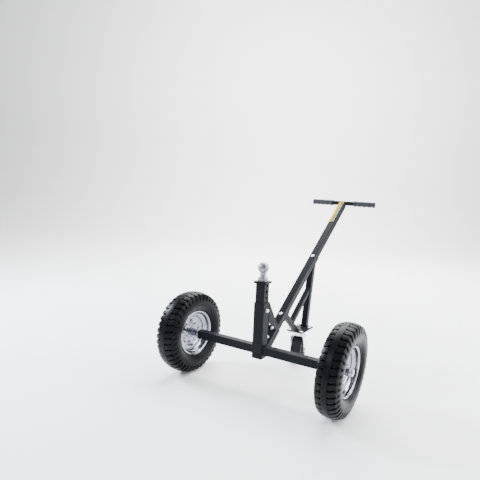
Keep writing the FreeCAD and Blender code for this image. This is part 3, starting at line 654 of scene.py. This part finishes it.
# ------------------------------------------------------------------ weld beads
WELD_STEP = 0.9 * MM
WELD_SIDES = 8
WELD_RISE = 0.6 * MM  # how far a bead's middle stands off the surface that it runs on
ASKEW = Vector((0.31, 0.52, 0.79))  # parallel to no bead
RIPPLE, RIPPLE_STEPS = 0.14, 3.0  # share of the radius, and steps from ripple to ripple
UNEVEN, UNEVEN_TURN = 0.06, 0.37  # a slower change: share, and radians a step
AXLE_BEAD, GUSSET_BEAD, FOOT_BEAD, BALL_BEAD = 1.9 * MM, 1.6 * MM, 1.8 * MM, 1.7 * MM  # radii
AXLE_BEAD_OUT = 0.8 * MM
GUSSET_BEAD_IN = 0.5 * MM
GUSSET_WELD = (94 * MM, 2 * MM)  # its ends, down from the gusset's top
LEG_FOOT = 2.03  # the leaning leg's foot is this many half widths long
BRACE_FOOT = 37 * MM


def weld(name, points, radius, body, closed=False):
    """A rippled bead laid along straight runs between the points."""
    path = []
    count = len(points)
    for i in range(count if closed else count - 1):
        a = Vector(points[i])
        b = Vector(points[(i + 1) % count])
        steps = max(int((b - a).length / WELD_STEP), 2)
        for k in range(steps):
            path.append((a.lerp(b, k / steps), (b - a).normalized()))
    if not closed:
        path.append((Vector(points[-1]), path[-1][1]))
    verts = []
    for i, (at, ahead) in enumerate(path):
        across = ahead.cross(ASKEW).normalized()
        other = ahead.cross(across).normalized()
        ripple = RIPPLE * math.cos(2 * math.pi * i / RIPPLE_STEPS)
        reach = radius * (1.0 + ripple + UNEVEN * math.sin(i * UNEVEN_TURN))
        for j in range(WELD_SIDES):
            angle = 2 * math.pi * j / WELD_SIDES
            verts.append(at + across * math.cos(angle) * reach + other * math.sin(angle) * reach)
    faces = skin(len(path), WELD_SIDES, closed)
    return piece(name, verts, faces, "frame_paint", body, WELD_SHARP)


def loop_x(x, y0, y1, z0, z1):
    return [(x, y0, z0), (x, y1, z0), (x, y1, z1), (x, y0, z1)]


def loop_z(z, x0, x1, y0, y1):
    return [(x0, y0, z), (x1, y0, z), (x1, y1, z), (x0, y1, z)]


def welds():
    """Beads where the axle and gussets meet the post, and the leg, brace and post their plates."""
    axle_low, axle_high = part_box("axle_tube_right")
    inner_low, inner_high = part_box("inner_post")
    post_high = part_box("post_outer")[1]
    for side, sign in SIDES:
        x = sign * (post_high.x + AXLE_BEAD_OUT)
        ring = loop_x(x, axle_low.y, axle_high.y, axle_low.z, axle_high.z)
        weld("weld_axle_" + side, ring, AXLE_BEAD, "frame", True)
        gusset_low, gusset_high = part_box("gusset_" + side)
        outer_x = gusset_low.x if side == "left" else gusset_high.x
        x = outer_x - sign * GUSSET_BEAD_IN
        y = post_high.y + WELD_RISE
        line = [(x, y, gusset_high.z - down) for down in GUSSET_WELD]
        weld("weld_gusset_" + side, line, GUSSET_BEAD, "frame")
    deck_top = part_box("deck_plate")[1].z
    leg_low, leg_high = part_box("leg")
    half = (leg_high.x - leg_low.x) / 2
    foot = loop_z(deck_top + WELD_RISE, -half, half, leg_low.y, leg_low.y + LEG_FOOT * half)
    weld("weld_leg", foot, FOOT_BEAD, "frame", True)
    brace_low, brace_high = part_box("brace")
    half = (brace_high.x - brace_low.x) / 2
    foot = loop_z(deck_top + WELD_RISE, -half, half, brace_high.y - BRACE_FOOT, brace_high.y)
    weld("weld_brace", foot, FOOT_BEAD, "frame", True)
    plate_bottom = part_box("ball_plate")[0].z
    ring = loop_z(plate_bottom - WELD_RISE, inner_low.x, inner_high.x, inner_low.y, inner_high.y)
    weld("weld_ball_plate", ring, BALL_BEAD, "ball_post", True)


welds()


# ------------------------------------------------------------------ floor, light and camera
FLOOR_FRONT = 5.0
FLOOR_BACK = 5.0
FLOOR_HALF = 9.0
FLOOR_TURN = 28.0  # degrees, so that the backdrop faces the camera
SWEEP_R = 3.0
WALL_HEIGHT = 9.0
SWEEP_ROWS = 40
FLAT_SHARE = 0.55  # of those rows
LAMPS = (
    # name, place, target, size, watts, colour
    ("key_top", (-0.3, 2.2, 3.7), (0, 0.5, 0.0), (4.6, 3.2), 640.0, (1, 1, 1)),
    ("side_right", (3.2, 1.2, 1.7), (0.1, 0, 0.3), (2.4, 2.4), 230.0, (0.93, 0.96, 1.0)),
    ("backdrop", (-1.6, 3.0, 4.2), (-3.0, 6.6, 1.6), (5.0, 2.0), 900.0, (1, 1, 1)),
    ("front_left", (-0.6, -2.8, 2.4), (0, -0.3, 0.4), (0.6, 0.6), 32.0, (0.92, 0.95, 1.0)),
    ("side_left", (-3.0, -0.9, 2.1), (0.3, -0.4, 0.1), (1.0, 1.0), 260.0, (0.80, 0.88, 1.0)),
)
WORLD_COLOUR = (0.95, 0.97, 1.0, 1)
WORLD_STRENGTH = 0.50
CAMERA_ANGLES = (28.125, 15.10, 3.455)  # azimuth, downward pitch and roll, in degrees
CAMERA_X = 0.8854
CAMERA_BEFORE_POST = 1.5108  # towards the front, from the post's middle
CAMERA_HEIGHT = 0.8650
SENSOR_MM = 36.0
LENS_MM = 31.05
LENS_SHIFT = (-0.0775, 0.1427)
CLIP_END = 60.0


def floor():
    """A pale sheet that sweeps up into a backdrop."""
    mesh = bpy.data.meshes.new("floor")
    rows = []
    for i in range(SWEEP_ROWS):
        t = i / (SWEEP_ROWS - 1)
        if t < FLAT_SHARE:
            rows.append((-FLOOR_FRONT + t / FLAT_SHARE * (FLOOR_FRONT + FLOOR_BACK), 0.0))
        else:
            angle = (t - FLAT_SHARE) / (1 - FLAT_SHARE) * math.pi / 2
            y = FLOOR_BACK + SWEEP_R * math.sin(angle)
            rows.append((y, SWEEP_R - SWEEP_R * math.cos(angle)))
    rows.append((FLOOR_BACK + SWEEP_R, WALL_HEIGHT))
    verts = [(x, y, z) for y, z in rows for x in (-FLOOR_HALF, FLOOR_HALF)]
    faces = [(2 * i, 2 * i + 1, 2 * i + 3, 2 * i + 2) for i in range(len(rows) - 1)]
    mesh.from_pydata(verts, [], faces)
    for polygon in mesh.polygons:
        polygon.use_smooth = True
    thing = bpy.data.objects.new("floor", mesh)
    bpy.context.scene.collection.objects.link(thing)
    n = Nodes("studio_floor")
    cloud = n.noise(n.coords(), 1.5, 3.0, 0.5)
    n.colour(n.ramp(cloud, "Fac", [(0.3, 0.95), (0.7, 0.98)]))
    n.set(Roughness=0.85)
    mesh.materials.append(n.mat)
    thing.matrix_world = Matrix.Rotation(math.radians(FLOOR_TURN), 4, "Z")


def world():
    sky = bpy.data.worlds.new("studio")
    bpy.context.scene.world = sky
    sky.use_nodes = True
    background = sky.node_tree.nodes["Background"]
    background.inputs["Color"].default_value = WORLD_COLOUR
    background.inputs["Strength"].default_value = WORLD_STRENGTH


def softbox(name, place, target, size, power, colour):
    light = bpy.data.lights.new(name, "AREA")
    light.shape = "RECTANGLE"
    light.size, light.size_y = size
    light.energy = power
    light.color = colour
    lamp = bpy.data.objects.new(name, light)
    bpy.context.scene.collection.objects.link(lamp)
    lamp.location = place
    aim = Vector(target) - Vector(place)
    lamp.rotation_euler = aim.to_track_quat("-Z", "Y").to_euler()


def camera():
    """The photograph's camera, rolled about its line of sight."""
    data = bpy.data.cameras.new("camera")
    thing = bpy.data.objects.new("camera", data)
    bpy.context.scene.collection.objects.link(thing)
    bpy.context.scene.camera = thing
    azimuth, pitch, roll = (math.radians(v) for v in CAMERA_ANGLES)
    flat = Vector((math.cos(azimuth), math.sin(azimuth), 0))
    level = math.cos(pitch)
    ahead = Vector((-math.sin(azimuth) * level, math.cos(azimuth) * level, -math.sin(pitch)))
    up = flat.cross(ahead)
    right = flat * math.cos(roll) + up * math.sin(roll)
    up = up * math.cos(roll) - flat * math.sin(roll)
    place = Vector((CAMERA_X, middle("post_outer").y - CAMERA_BEFORE_POST, CAMERA_HEIGHT))
    thing.matrix_world = Matrix(
        (
            (right.x, up.x, -ahead.x, place.x),
            (right.y, up.y, -ahead.y, place.y),
            (right.z, up.z, -ahead.z, place.z),
            (0, 0, 0, 1),
        )
    )
    data.sensor_width = SENSOR_MM
    data.lens = LENS_MM
    data.shift_x, data.shift_y = LENS_SHIFT
    data.clip_end = CLIP_END


floor()
world()
for lamp_row in LAMPS:
    softbox(*lamp_row)
camera()
